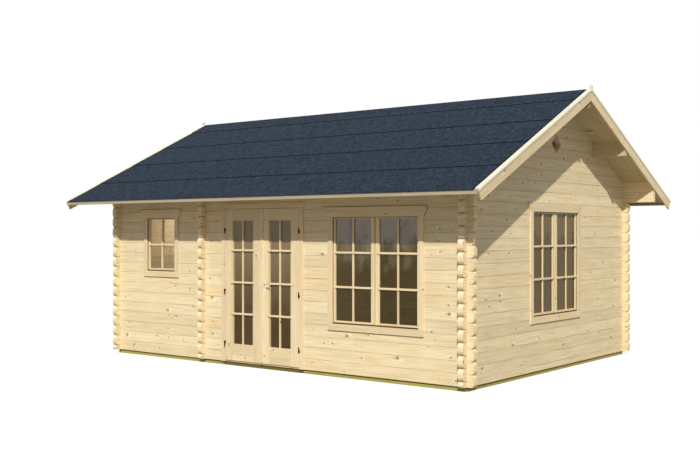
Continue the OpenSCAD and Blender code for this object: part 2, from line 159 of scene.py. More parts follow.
class Wire:
    """A value in a material. Maths on it is written as a Python expression."""

    def __init__(self, finish, socket):
        self.finish = finish
        self.socket = socket

    def maths(self, operation, *values, clamp=False):
        return self.finish.node("ShaderNodeMath", {"operation": operation, "use_clamp": clamp},
                                dict(enumerate(values)))

    __add__ = __radd__ = by_node("ADD")
    __sub__ = by_node("SUBTRACT")
    __mul__ = __rmul__ = by_node("MULTIPLY")
    __truediv__ = by_node("DIVIDE")
    __pow__ = by_node("POWER")
    __gt__ = by_node("GREATER_THAN")
    __lt__ = by_node("LESS_THAN")
    floor = by_node("FLOOR")
    fract = by_node("FRACT")
    size = by_node("ABSOLUTE")
    sine = by_node("SINE")
    angle = by_node("ARCTAN2")
    most = by_node("MAXIMUM")

    def __rsub__(self, other):
        return self.maths("SUBTRACT", other, self)

    def ease(self, start, end):
        """0 before start and 1 after end, or the other way round where end is the smaller."""
        low, high, ends = (start, end, (0.0, 1.0)) if start < end else (end, start, (1.0, 0.0))
        return self.finish.node("ShaderNodeMapRange", {"interpolation_type": "SMOOTHSTEP"}, {
            "Value": self, "From Min": low, "From Max": high, "To Min": ends[0], "To Max": ends[1]})


class Finish:
    """A material, or the world, that is being made."""

    def __init__(self, name="", owner=None):
        self.owner = owner or bpy.data.materials.new(name)
        self.owner.use_nodes = True
        self.tree = self.owner.node_tree
        self.tree.nodes.clear()

    def node(self, kind, settings=None, inputs=None, output=0):
        inputs = {name: value.socket if isinstance(value, Wire) else value
                  for name, value in (inputs or {}).items()}
        return Wire(self, add_node(self.tree, kind, settings, inputs).outputs[output])

    def outputs(self, wire, *names):
        return [Wire(self, wire.socket.node.outputs[name]) for name in names]

    def vector(self, x, y, z):
        return self.node("ShaderNodeCombineXYZ", None, {0: x, 1: y, 2: z})

    def parts(self, vector):
        return self.outputs(self.node("ShaderNodeSeparateXYZ", None, {0: vector}), 0, 1, 2)

    def place(self):
        """The point that is shaded, in the cabin's frame."""
        return self.node("ShaderNodeTexCoord", None, None, "Object")

    def ends(self, axis):
        """1 on faces that look along an axis, such as sawn ends, and 0 on the others."""
        normal = self.parts(self.node("ShaderNodeTexCoord", None, None, "Normal"))
        return normal[axis].size().ease(0.55, 0.8)

    def noise(self, vector, scale, detail=2.0, roughness=0.5):
        return self.node("ShaderNodeTexNoise", None, {
            "Vector": vector, "Scale": scale, "Detail": detail, "Roughness": roughness})

    def cells(self, vector, scale):
        """A number from 0 to 1 for each of the cells that fill the space."""
        return self.parts(self.node(
            "ShaderNodeTexVoronoi", None, {"Vector": vector, "Scale": scale}, "Color"))[0]

    def chance(self, x, y, z=0.0):
        """Three numbers from 0 to 1 that depend on x, y and z alone."""
        made = self.node("ShaderNodeTexWhiteNoise", {"noise_dimensions": "3D"},
                         {"Vector": self.vector(x, y, z)}, "Color")
        return self.outputs(self.node("ShaderNodeSeparateColor", None, {0: made}), 0, 1, 2)

    def mix(self, share, first, second, blend="MIX"):
        """A mix of two colours."""
        return self.node("ShaderNodeMix", {"data_type": "RGBA", "blend_type": blend},
                         {0: share, 6: first, 7: second}, 2)

    def dimmed(self, colour, *levels):
        """A colour times a level each for its red, green and blue."""
        return self.mix(1.0, colour, self.node(
            "ShaderNodeCombineColor", None, dict(enumerate(levels))), "MULTIPLY")

    def bump(self, height, distance, strength):
        return self.node("ShaderNodeBump", None, {
            "Strength": strength, "Distance": distance, "Height": height})

    def seen(self):
        """1 for what the camera sees itself, in gloss or through glass, and 0 for other light."""
        camera, gloss, glass = self.outputs(self.node("ShaderNodeLightPath"), "Is Camera Ray",
                                            "Is Glossy Ray", "Is Transmission Ray")
        return camera.maths("ADD", camera + gloss, glass, clamp=True)

    def end(self, shader, kind="ShaderNodeOutputMaterial"):
        last = self.tree.nodes.new(kind)
        self.tree.links.new(shader.socket, last.inputs["Surface"])
        return self.owner

    def close(self, settings):
        """Ends the material in its one shader and returns it."""
        return self.end(self.node("ShaderNodeBsdfPrincipled", None, settings))

    def close_dull(self, colour, roughness, gloss, *bump):
        return self.close({"Base Color": colour, "Roughness": roughness,
                           "Specular IOR Level": gloss, "Normal": self.bump(*bump)})


def length(*values):
    total = values[0] * values[0]
    for value in values[1:]:
        total = total + value * value
    return total ** 0.5


def knots(finish, along, across, seed, cell, share, sizes):
    """Knots in some of the cells along a log: cores, the tan wood round them, and a pale patch."""
    step = along / cell
    index = step.floor()
    place, height, chance = finish.chance(index, seed, cell * 10.0)
    dx = (step - index - 0.15 - place * 0.7) * cell
    dz = across - (height - 0.5) * 0.105
    size = sizes[0] + (sizes[1] - sizes[0]) * chance
    there = (place * 7.31).fract() < share
    uneven = (finish.noise(finish.vector(along * 90.0, across * 90.0, seed), 1.0, 1.0) - 0.5) * 0.9
    core = (length(dx * 0.7, dz + dx * (height - 0.5)) / size + uneven).ease(1.15, 0.6) * there
    rim = (length(dx * 0.45, dz) / size + uneven).ease(2.3, 0.8) * there
    patch = length((dx - size * (chance * 6.0 - 3.0)) * 0.6, dz + size * (height * 3.0 - 1.5))
    return core, rim, (patch / size + uneven).ease(2.4, 0.7) * there


def wood_figure(finish, along, across, deep, seed, ring, knotty):
    """Growth rings that a saw cut nearly along the stem, from 0 to 1, bent by the knots."""
    large = knots(finish, along, across, seed, 0.78, knotty, (0.008, 0.015))
    small = knots(finish, along, across, seed + 41.0, 0.33, knotty * 0.5, (0.004, 0.009))
    core, rim, halo = [one.most(two) for one, two in zip(large, small)]
    wander = finish.noise(finish.vector(along * 0.7, seed * 5.7, 0.0), 1.0, 1.0)
    stretched = finish.vector(along * 1.3 + seed * 3.1, across * 11.0, deep * 11.0)
    ripple = finish.noise(stretched, 1.0)
    radius = length(across + (wander - 0.5) * 0.1, deep + 0.075 + wander * 0.05)
    wave = (radius / ring + ripple * 2.0 + halo * 1.6).fract()
    rings = wave.ease(0.1, 0.86) * wave.ease(1.0, 0.86)
    return rings, core, rim, halo


def wood_finish(finish, along, across, deep, seed, tones, knotty, ring=0.006, rough=0.62):
    """Planed softwood with a tone of its own for each seed; tones are pale wood, late wood, knot."""
    pale, late, knot = tones
    rings, core, rim, halo = wood_figure(finish, along, across, deep, seed, ring, knotty)
    fibre = finish.noise(finish.vector(along * 6.0, across * 260.0 + seed, deep * 260.0), 1.0)
    streak = finish.noise(finish.vector(along * 0.9 + seed, across * 26.0, deep * 26.0), 1.0)
    fine = finish.noise(finish.vector(along * 2.4 - seed, across * 78.0, deep * 78.0), 1.0)
    blotch = finish.noise(finish.vector(along * 2.2 - seed, across * 7.0, deep * 7.0), 1.0, 1.0)
    tone, warm = finish.chance(seed, 7.0)[:2]
    colour = finish.mix(rings * 0.18 + (streak - 0.5) * 0.8 + (fine - 0.5) * 1.3 + 0.14, pale, late)
    colour = finish.mix(rim * 0.45, colour, shade(200, 154, 92))
    colour = finish.mix(halo * 0.75, colour, scaled(pale, 1.16))
    colour = finish.mix(core * 0.8, colour, knot)
    level = 0.885 + tone * 0.125 + (fibre - 0.5) * 0.10 + (blotch - 0.5) * 0.14
    colour = finish.dimmed(
        colour, level, level * (0.975 + warm * 0.04), level * (0.94 + warm * 0.10))
    height = fibre * 0.35 + rings * 0.2 - core * 0.6
    roughness = rough + (fibre - 0.5) * 0.16 - halo * 0.05
    return colour, roughness, height


PINE = (shade(246, 230, 191), shade(216, 182, 122), shade(112, 76, 42))
PLANED = (shade(242, 223, 183), shade(218, 188, 134), shade(124, 82, 44))
CAPPING = (shade(242, 236, 212), shade(228, 212, 176), shade(140, 104, 70))
# The fascias' planed wood, darkened as painted shade
FASCIA_IN_SHADE = (shade(191, 177, 152), shade(170, 152, 118), shade(104, 76, 50))
BOARDING = (shade(212, 198, 158), shade(182, 158, 112), shade(98, 64, 36))
GREEN = (shade(188, 176, 92), shade(150, 136, 62), shade(84, 68, 34))
FLOORING = (shade(214, 188, 142), shade(184, 150, 100), shade(104, 66, 36))
GAP_BROWN = shade(64, 44, 24)


def log_wood(name, turned):
    """The walls' logs, along X or, where they are turned, along Y."""
    finish = Finish(name)
    place = finish.place()
    x, y, z = finish.parts(place)
    along, deep = (y, x) if turned else (x, y)
    step = (z - BASE) / COURSE + (0.5 if turned else 0.0)
    row = step.floor()
    across = (step - row - 0.5) * COURSE
    seed = row * 1.37 + deep.floor() * 3.9
    if not turned:
        seed = seed + (x > DOOR_X) * 31.7
    inside = (deep.size() - (WALL_L if turned else WALL_D) / 2).size()
    colour, roughness, height = wood_finish(
        finish, along, across, inside, seed, PINE, 0.44 if turned else 0.62)
    # The joint between two logs shows as a thin brown line that closes tight in places
    tight = finish.noise(finish.vector(along * 1.7, row * 4.3, deep.floor()), 1.0, 3.0).ease(0.36, 0.62)
    joint = (COURSE / 2 - across.size()).ease(0.0030, 0.0012)
    colour = finish.mix(joint * (0.10 + tight * 0.55), colour, GAP_BROWN)
    # Sawn ends show the rings round the heart and short drying cracks
    ends = finish.ends(1 if turned else 0)
    side, up, turn = finish.chance(seed, 2.0, (along * 0.5).floor())
    heart_x, heart_z = inside - LOG_T / 2 + (side - 0.5) * 0.05, across + (up - 0.5) * 0.06
    spread = length(heart_x, heart_z)
    rings = (spread / 0.0055 + finish.noise(place, 30.0) * 0.8).fract().ease(0.3, 0.95)
    crack = (heart_z.angle(heart_x) * 1.9 + turn * 6.0).sine().size().ease(0.06, 0.0)
    crack = crack * spread.ease(0.045, 0.012)
    sawn = finish.mix(rings * 0.4, shade(248, 228, 184), shade(220, 186, 126))
    sawn = finish.mix(crack * 0.6, sawn, shade(120, 86, 52))
    colour = finish.mix(ends, colour, sawn)
    if turned:
        # Past the corners the ends are worn round, with painted light for the rounding: a painted
        # highlight above, and painted shade below and in the gaps between them
        past = (along.size() - WALL_D / 2).ease(0.004, 0.02)
        painted_highlight = ends * across.ease(-0.005, 0.03) * across.ease(0.06, 0.045)
        colour = finish.mix(painted_highlight * 0.55, colour, shade(255, 246, 220))
        colour = finish.mix(ends * across.ease(0.0, -0.055) * 0.35, colour, shade(206, 174, 122))
        painted_gap_shade = (COURSE / 2 - across.size()).ease(0.016, 0.003)
        colour = finish.mix(past * painted_gap_shade * 0.15, colour, shade(116, 92, 58))
    return finish.close_dull(
        colour, roughness, 0.3, height - joint * 1.5 - crack * ends, 0.0012, 0.5)


def beam_wood(name, turned, tones, painted_shadow=0.0, painted_end_shade=None):
    """Long timbers whose solids stay: purlins, one with its ends darkened as painted shade, and the
    base, with painted shadow along its top and below the doors."""
    finish = Finish(name)
    x, y, z = finish.parts(finish.place())
    along, across = (y, x) if turned else (x, y)
    seed = (across * 1.61).floor() * 2.7 + 1.3
    colour, roughness, height = wood_finish(finish, along, z, across, seed, tones, 0.15)
    # Painted shade on the sawn ends
    if painted_end_shade:
        colour = finish.mix(finish.ends(0), colour, painted_end_shade)
    if painted_shadow:
        # Painted shadow: a dark band along the top, under the logs, and a dark patch below the doors
        colour = finish.mix(z.ease(BASE - 0.024, BASE - 0.012) * painted_shadow, colour, shade(70, 66, 22))
        door_shadow = (x - DOOR_X).size().ease(DOOR_HALF + JAMB_T + 0.012, DOOR_HALF + JAMB_T)
        colour = finish.mix(door_shadow * (y < FACE_Y + 0.05) * 0.92, colour, shade(104, 93, 40))
    return finish.close_dull(colour, roughness, 0.3, height, 0.001, 0.5)


def joinery_wood(name, tones):
    """Boards that carry their own grain: its place along, across and through the board."""
    finish = Finish(name)
    along, across, deep = finish.parts(
        finish.node("ShaderNodeAttribute", {"attribute_name": "grain"}, None, "Vector"))
    seed = finish.node("ShaderNodeAttribute", {"attribute_name": "tone"}, None, "Fac") * 97.0
    colour, roughness, height = wood_finish(
        finish, along, across, deep, seed, tones, 0.5, ring=0.005, rough=0.58)
    return finish.close_dull(colour, roughness, 0.35, height, 0.0008, 0.45)


def roof_felt(name):
    """Slate-blue mineral felt, with a painted shadow line below each lap and beside the caps, and grit
    that has worn off.
    """
    finish = Finish(name)
    place = finish.place()
    x, y, z = finish.parts(place)
    down = y.size() / COS - RIDGE_STRIP
    step = down / FELT_STRIP
    strip = step.floor()
    below = (step - strip) * FELT_STRIP
    tone = finish.chance(strip, y > 0.0)[0]
    grain, clump = finish.cells(place, 330.0), finish.cells(place, 48.0)
    patch = finish.noise(place, 14.0, 5.0, 0.7)
    cloud = finish.noise(finish.vector(x * 0.8, down * 2.5, strip), 1.0)
    level = (0.30 + grain * 0.36 + (patch - 0.5) * 2.1 + (cloud - 0.5) * 0.22
             + tone * 0.09 + clump * 0.86)
    colour = finish.dimmed(shade(42, 53, 66), level, level, level)
    worn = finish.noise(place, 90.0).ease(0.66, 0.74) * 0.35
    colour = finish.mix(worn, colour, shade(70, 82, 98))
    # Painted shadow: a dark line just below each lap, and along the felt beside the caps
    lap = below.ease(0.026, 0.012) * (down > 0.0)
    edge = x.size().ease(ROOF_HALF - CAP[0] - 0.03, ROOF_HALF - CAP[0] - 0.012)
    colour = finish.mix((lap * 0.9).most(edge * 0.85), colour, shade(12, 16, 20))
    return finish.close_dull(colour, 0.86 + grain * 0.12, 0.1, grain + patch, 0.0016, 0.6)


def window_glass(name, low, high, cover, start, drift, gleam, coat=1.5):
    """Tinted glass whose tone and cover change from its foot to its head, where it gleams; the change
    of tone is a painted reflection, pale sky over a smeared line above dark brown.
    """
    finish = Finish(name)
    place = finish.place()
    x, y, z = finish.parts(place)
    reflection_smear = finish.noise(finish.vector(x * 2.2, y * 2.2, z), 3.5, 4.0, 0.6)
    reflection_rise = (z + (reflection_smear - 0.5) * drift).ease(start, 1.8)
    return finish.close({
        "Base Color": finish.mix(reflection_rise, low, high), "Coat Weight": reflection_rise * gleam, "Coat IOR": coat,
        "Roughness": 0.02 + reflection_smear * 0.03, "IOR": 1.35, "Specular Tint": shade(246, 226, 190),
        "Alpha": cover[0] + reflection_rise * (cover[1] - cover[0])})


def metal(name, colour, roughness, pitted, metallic=1.0):
    finish = Finish(name)
    place = finish.place()
    mottle = finish.noise(place, 160.0, 3.0)
    fine = finish.noise(place, 900.0)
    return finish.close({
        "Base Color": finish.mix(mottle.ease(0.35, 0.75) * pitted, colour, scaled(colour, 0.6)),
        "Metallic": metallic, "Roughness": roughness + (mottle - 0.5) * 0.2,
        "Normal": finish.bump(mottle + fine * 0.4, 0.0004, 0.35 * pitted)})


FINISHES = {
    "log_x": log_wood("log_wood_along", False),
    "log_y": log_wood("log_wood_across", True),
    "joinery": joinery_wood("joinery_wood", PLANED),
    "capping": joinery_wood("capping_wood", CAPPING),
    "fascia": joinery_wood("fascia_wood", FASCIA_IN_SHADE),
    "boarding": joinery_wood("roof_boarding_wood", BOARDING),
    "flooring": joinery_wood("floor_wood", FLOORING),
    "purlin": beam_wood("purlin_wood", False, BOARDING),
    # The ridge purlin's ends get painted shade
    "ridge": beam_wood("ridge_wood", False, BOARDING, painted_end_shade=shade(146, 124, 88)),
    "green_x": beam_wood("treated_wood_along", False, GREEN, painted_shadow=0.75),
    "green_y": beam_wood("treated_wood_across", True, GREEN, painted_shadow=0.75),
    "felt": roof_felt("roof_felt"),
    # Each glass has a low tone and a high one, the high one a painted reflection of the sky
    "glass": window_glass(
        "window_glass", shade(62, 54, 30), shade(108, 86, 12), (0.5, 0.87), 1.25, 1.1, 0.92, 1.92),
    "gable_glass": window_glass(
        "gable_window_glass", shade(92, 70, 6), shade(118, 98, 56), (0.86, 0.86), 1.58, 0.8, 0.0),
    "door_glass": window_glass(
        "door_glass", shade(70, 53, 22), shade(146, 128, 94), (0.55, 0.72), 0.5, 0.5, 0.6),
    "small_glass": window_glass(
        "small_window_glass", shade(80, 67, 46), shade(110, 94, 66), (0.28, 0.1), 1.2, 0.2, 0.0),
    # The dark strips of painted shade round the windows
    "painted_shade": metal("dark_seal", shade(112, 92, 60), 0.8, 0.3, 0.0),
    "tape": metal("glazing_tape", shade(184, 164, 124), 0.7, 0.2, 0.0),
    "dark_metal": metal("hinge_metal", shade(66, 48, 22), 0.5, 0.8, 0.8),
    "blackened": metal("blackened_metal", shade(56, 42, 24), 0.7, 0.3, 0.0),
    "steel": metal("brushed_steel", shade(240, 232, 210), 0.26, 0.4),
    "zinc": metal("zinc_nails", shade(150, 148, 140), 0.5, 0.6),
}


# Joinery

random.seed(41)


def oblong(x0, x1, z0, z1):
    return [(x0, z0), (x1, z0), (x1, z1), (x0, z1)]


def span(side, near, far):
    """From near to far on the left, where side is -1, or on the right, in rising order."""
    return sorted((side * near, side * far))


class Joinery:
    """Boards that are gathered into one piece. They are drawn in elevation: x to the right,
    z up and y into the wall, and the piece's place turns them into the cabin's frame."""

    def __init__(self, place=Matrix()):
        self.place = place
        self.mesh = bmesh.new()
        self.grain = self.mesh.verts.layers.float_vector.new("grain")
        self.tone = self.mesh.verts.layers.float.new("tone")

    def solid(self, corners, sides, along, edge):
        """A closed solid with its edges rounded, whose grain runs along a direction."""
        part = bmesh.new()
        made = [part.verts.new(corner) for corner in corners]
        for side in sides:
            part.faces.new([made[i] for i in side])
        bmesh.ops.recalc_face_normals(part, faces=part.faces)
        if edge:
            bmesh.ops.bevel(part, geom=part.edges[:], offset=edge, segments=2,
                            profile=0.5, affect="EDGES", clamp_overlap=True)
        run = Vector(along).normalized()
        through = Vector((0, 1, 0)) if abs(run.y) < 0.9 else Vector((1, 0, 0))
        wide = run.cross(through).normalized()
        middle = sum((vert.co for vert in part.verts), Vector()) / len(part.verts)
        shift = Vector((random.uniform(0, 60), random.uniform(-0.04, 0.04), random.uniform(0, 0.02)))
        tone = random.random()
        copies = {}
        for vert in part.verts:
            copy = self.mesh.verts.new(self.place @ vert.co)
            off = vert.co - middle
            copy[self.grain] = Vector((off.dot(run), off.dot(wide), off.dot(through))) + shift
            copy[self.tone] = tone
            copies[vert] = copy
        for face in part.faces:
            self.mesh.faces.new([copies[vert] for vert in face.verts])
        part.free()

    def board(self, outline, y0, y1, along=ALONG, edge=EDGE):
        """A board whose outline [(x, z)] runs from depth y0 to y1."""
        n = len(outline)
        corners = [(x, y, z) for y in (y0, y1) for x, z in outline]
        sides = [list(range(n)), list(range(2 * n - 1, n - 1, -1))]
        sides += [[i, (i + 1) % n, (i + 1) % n + n, i + n] for i in range(n)]
        self.solid(corners, sides, along, edge)

    def upright(self, x0, x1, z0, z1, y0, y1, edge=EDGE):
        self.board(oblong(x0, x1, z0, z1), y0, y1, UP, edge)

    def level(self, x0, x1, z0, z1, y0, y1, edge=EDGE):
        self.board(oblong(x0, x1, z0, z1), y0, y1, ALONG, edge)

    def bead(self, x0, x1, z0, z1, y_face, y_glass, width):
        """Sloping bead round a pane, mitred at its corners."""
        corners = []
        for y, inset in ((y_face, 0), (y_glass, 0), (y_glass, width)):
            corners += [(x, y, z) for x, z in oblong(x0 + inset, x1 - inset, z0 + inset, z1 - inset)]
        for i, along in enumerate([ALONG, UP, ALONG, UP]):
            j = (i + 1) % 4
            ring = [corners[k] for k in (i, i + 4, i + 8, j, j + 4, j + 8)]
            sides = [(0, 1, 2), (3, 5, 4), (0, 3, 4, 1), (1, 4, 5, 2), (2, 5, 3, 0)]
            self.solid(ring, sides, along, 0)

    def finish(self, name, replaced=(), body="cabin", slot="joinery_wood", material="joinery"):
        data = bpy.data.meshes.new(name)
        self.mesh.to_mesh(data)
        self.mesh.free()
        data.materials.append(FINISHES[material])
        settle(in_scene(name, data), body, replaced)


def in_scene(name, data):
    made = bpy.data.objects.new(name, data)
    bpy.context.scene.collection.objects.link(made)
    return made


def settle(piece, body, replaced=()):
    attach(piece, body)
    if replaced:
        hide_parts(*replaced)


def glazing_bars(work, x0, x1, z0, z1, face, glass, heights):
    """Bars over a pane between its stiles: the level ones lie on the stiles and pass in front."""
    middle = (x0 + x1) / 2
    work.bead(x0, x1, z0, z1, face + 0.001, glass - PANE_GAP, BEAD)
    work.upright(middle - BAR_W / 2, middle + BAR_W / 2, z0, z1, face + 0.001, glass - PANE_GAP)
    for z in heights:
        low, high = z - BAR_W / 2, z + BAR_W / 2
        work.level(x0 - BAR_LAP, x1 + BAR_LAP, low, high, face - BAR_PROUD, face)
        work.level(x0, x1, low, high, face, glass - PANE_GAP, 0)


def inner_bars(work, x0, x1, z0, z1, face, glass, heights):
    middle = (x0 + x1) / 2
    work.upright(middle - BAR_W / 2, middle + BAR_W / 2, z0, z1, glass + PANE_GAP, face)
    for z in heights:
        work.level(x0, x1, z - BAR_W / 2, z + BAR_W / 2, glass + PANE_GAP, face - 0.001)


def head_board(work, half, z, height, foot, top, y0, y1):
    """Board over an opening whose ends sweep out from foot to top in an S."""
    side, steps = [], 10
    for i in range(steps + 1):
        share = min(1.0, max(0.0, (i / steps - 0.06) / 0.66))
        sweep = foot + (top - foot) * share * share * (3 - 2 * share)
        side.append((half + sweep, z + height * i / steps))
    work.board(side + [(-x, z) for x, z in reversed(side)], y0, y1, ALONG, 0.0015)


def window(name, place, size, count, heights):
    """Casing, lining and sashes of a window, drawn from the middle of its daylight's foot."""
    w, h = size
    outer = w / 2 + CASING_W
    work = Joinery(place)
    for side in (-1, 1):
        work.upright(*span(side, w / 2, outer), 0, h, -CASING_T, 0)
    work.level(-outer, outer, -APRON_H, 0, -CASING_T, 0)
    head_board(work, outer, h, HEAD_H, *EAR, -CASING_T, 0)
    x_in = w / 2 + LAP[0] + SASH_GAP
    low, high = -LAP[1] - SASH_GAP, h + LAP[2] + SASH_GAP
    for side in (-1, 1):
        work.upright(*span(side, x_in, x_in + LINING_T), low - LINING_T, high + LINING_T, 0, LOG_T)
    work.level(-x_in, x_in, low - LINING_T, low, 0, LOG_T)
    work.level(-x_in, x_in, high, high + LINING_T, 0, LOG_T)
    work.finish(name + "_casing", [name + "_frame"])

    work = Joinery(place)
    wide = (w + 2 * LAP[0] - (count - 1) * SASH_GAP) / count
    back = SASH_FACE + SASH_T
    glass = SASH_FACE + (SASH_T - GLASS_T) / 2
    z0, z1 = -LAP[1], h + LAP[2]
    for i in range(count):
        x0 = i * (wide + SASH_GAP) - w / 2 - LAP[0]
        x1 = x0 + wide
        # The sashes' faces end above the casing, and only a rebate behind them goes on down
        work.level(x0, x1, z0, DRIP, SASH_FACE + 0.024, back)
        for stile in (0, 1):
            a, b = (x1 - SASH_RAIL, x1) if stile else (x0, x0 + SASH_RAIL)
            inset = MEETING_REBATE[0] if count == 2 and stile != i else 0
            front = SASH_FACE + (MEETING_REBATE[1] if inset else 0)
            work.upright(a, b, DRIP, z1, front, back, 0.0035)
            if inset:
                work.upright(a + inset * (1 - stile), b - inset * stile, DRIP, z1,
                             SASH_FACE, front, 0.0015)
        pane = (x0 + SASH_RAIL, x1 - SASH_RAIL, z0 + SASH_RAIL, z1 - SASH_RAIL)
        work.level(*pane[:2], DRIP, pane[2], SASH_FACE, back)
        work.level(*pane[:2], pane[3], z1, SASH_FACE, back)
        glazing_bars(work, *pane, SASH_FACE, glass, heights)
        inner_bars(work, *pane, back, glass + GLASS_T, heights)
    work.finish(name + "_joinery", [name + ("_sash" if count == 1 else "_sashes")])


def window_shade_strips(name, place, size, round_head):
    """Dark strips of painted shade: between the sashes and the casing, and round the board over a front
    window.
    """
    w, h = size
    work = Joinery(place)
    work.level(-w / 2, w / 2, h - SHADE_STRIP, h, SASH_FACE - 0.002, SASH_FACE + 0.001, 0)
    work.level(-w / 2, w / 2, 0, SHADE_STRIP, SASH_FACE + 0.020, SASH_FACE + 0.024, 0)
    for side in (-1, 1):
        work.upright(*span(side, w / 2, w / 2 - SHADE_STRIP), SHADE_STRIP, h - SHADE_STRIP,
                     SASH_FACE - 0.001, SASH_FACE + 0.001, 0)
    if round_head:
        half = w / 2 + CASING_W
        head_board(work, half + 0.005, h, HEAD_H + 0.006, *EAR, -0.004, -0.0005)
        work.level(-half, half, -APRON_H - 0.005, -APRON_H + 0.002, -0.004, -0.0005, 0)
    work.finish(name + "_seal", material="painted_shade")


FRONT_PLACE = Matrix.Translation((1.68, FACE_Y, BASE + 0.59))
SMALL_PLACE = Matrix.Translation((-1.982, FACE_Y, BASE + 1.144))
GABLE_PLACE = (Matrix.Translation((WALL_L / 2, -0.02, BASE + 0.66))
               @ Matrix.Rotation(math.pi / 2, 4, "Z"))
# Each window's sashes, the heights of their level bars, and whether it is in the front wall
WINDOWS = {"front_window": (FRONT_PLACE, WIDE, 2, (0.44, 0.85), True),
           "gable_window": (GABLE_PLACE, WIDE, 2, (0.45, 0.85), False),
           "small_window": (SMALL_PLACE, SMALL, 1, (0.366,), True)}
for name, (place, size, count, heights, in_front) in WINDOWS.items():
    window(name, place, size, count, heights)
for name, (place, size, count, heights, in_front) in WINDOWS.items():
    window_shade_strips(name, place, size, in_front)


# Double door

DOOR_PLACE = Matrix.Translation((DOOR_X, 0, BASE))

work = Joinery(DOOR_PLACE)
outer = DOOR_HALF + DOOR_CASING_W
casing_y, jamb_y = (FACE_Y - CASING_T, FACE_Y), (FACE_Y, FACE_Y + LOG_T)
stop_y = (LEAF_FACE + LEAF_T + LEAF_GAP, FACE_Y + LOG_T)
for side in (-1, 1):
    work.upright(*span(side, DOOR_HALF, outer), 0, DOOR_TOP, *casing_y)
    work.upright(*span(side, DOOR_HALF, DOOR_HALF + JAMB_T), 0, DOOR_TOP + JAMB_T, *jamb_y)
    work.upright(*span(side, DOOR_HALF, DOOR_HALF - DOOR_STOP), DOOR_STOP, DOOR_TOP, *stop_y)
head_board(work, outer, DOOR_TOP, DOOR_HEAD_H, 0, EAR[1] - EAR[0], *casing_y)
work.level(-DOOR_HALF, DOOR_HALF, DOOR_TOP, DOOR_TOP + JAMB_T, *jamb_y)
work.level(DOOR_STOP - DOOR_HALF, DOOR_HALF - DOOR_STOP, DOOR_TOP - DOOR_STOP, DOOR_TOP, *stop_y)
work.level(-DOOR_HALF, DOOR_HALF, 0, DOOR_STOP, *jamb_y)
work.finish("door_casing", ["door_frame"])

DOOR_BARS = (0.63, 1.035, 1.45)


def door_leaf(side, name, body, replaced):
    """A leaf with its stiles, rails, beads and glazing bars; side is 1 for the right one."""
    work = Joinery(DOOR_PLACE)
    x = [side * (MEETING_GAP / 2 + d) for d in (0, STILE_W, LEAF_W - STILE_W, LEAF_W)]
    face, back = LEAF_FACE, LEAF_FACE + LEAF_T
    glass = LEAF_FACE + (LEAF_T - GLASS_T) / 2
    z0, z1 = LEAF_Z, LEAF_Z + LEAF_H
    for a, b in ((x[0], x[1]), (x[2], x[3])):
        work.upright(*sorted((a, b)), z0, z1, face, back)
    a, b = sorted((x[1], x[2]))
    pane = (a, b, z0 + LEAF_RAILS[0], z1 - LEAF_RAILS[1])
    work.level(a, b, z0, z0 + DOOR_RAIL_JOINT, face, back, 0.0045)
    work.level(a, b, z0 + DOOR_RAIL_JOINT, pane[2], face, back, 0.0045)
    work.level(a, b, pane[3], z1, face, back)
    glazing_bars(work, *pane, face, glass, DOOR_BARS)
    inner_bars(work, *pane, back, glass + GLASS_T, DOOR_BARS)
    if side > 0:
        work.upright(*STRIP, z0, z1, face - 0.012, face + 0.001, 0.003)
    work.finish(name, [replaced], body)
    # The tape that beds the pane shows beside the stiles
    tape = Joinery(DOOR_PLACE)
    start, end, thick = GLAZING_TAPE
    for near in (glass - PANE_GAP - thick, glass + GLASS_T + PANE_GAP):
        for x0, x1 in ((a + start, a + end), (b - end, b - start)):
            tape.upright(x0, x1, pane[2] + start, pane[3] - start, near, near + thick, 0)
    tape.finish(name.replace("joinery", "glazing_tape"), [], body, material="tape")


door_leaf(-1, "left_leaf_joinery", "left_door", "left_door_leaf")
door_leaf(1, "right_leaf_joinery", "right_door", "right_door_leaf")


# Lock

LEAF_SIDES = ((LEAF_FACE, -1), (LEAF_FACE + LEAF_T, 1))


def turns(count):
    return [2 * math.pi * i / count for i in range(count)]


def rounded(x, z0, z1, radius, count=24):
    """Outline of an upright plate with half-round ends."""
    return [(x + radius * math.cos(turn),
             (z1 - radius if math.sin(turn) > 0 else z0 + radius) + radius * math.sin(turn))
            for turn in turns(count)]


def lock_plates():
    """Plates with half-round ends, the lever's collars, and the cylinders with their key slots."""
    x, z = LEVER
    plates, slots = Joinery(DOOR_PLACE), Joinery(DOOR_PLACE)
    for face, out in LEAF_SIDES:
        def layer(near, far):
            return sorted((face + out * near, face + out * far))
        plates.board(rounded(x, z - 0.13, z + 0.067, 0.025), *layer(0, 0.003), UP, 0.0009)
        slots.board(rounded(x, z - 0.018, z + 0.018, 0.018), *layer(0.003, 0.0055), UP, 0.0008)
        plates.board(rounded(x, z - 0.0935, z - 0.0625, 0.0085), *layer(0.003, 0.0065), UP, 0.0006)
        slots.board(rounded(x, z - 0.076, z - 0.068, 0.0011, 12), *layer(0.0062, 0.0067), UP, 0)
        for height in (z - 0.119, z + 0.056):
            plates.board(rounded(x, height - 0.004, height + 0.004, 0.004, 12),
                         *layer(0.003, 0.0041), UP, 0.0005)
    plates.finish("lock_plate_faces", ["door_lock_plates"], "right_door", "steel", "steel")
    slots.finish("collars_and_key_slots", [], "right_door", "dark_metal", "blackened")


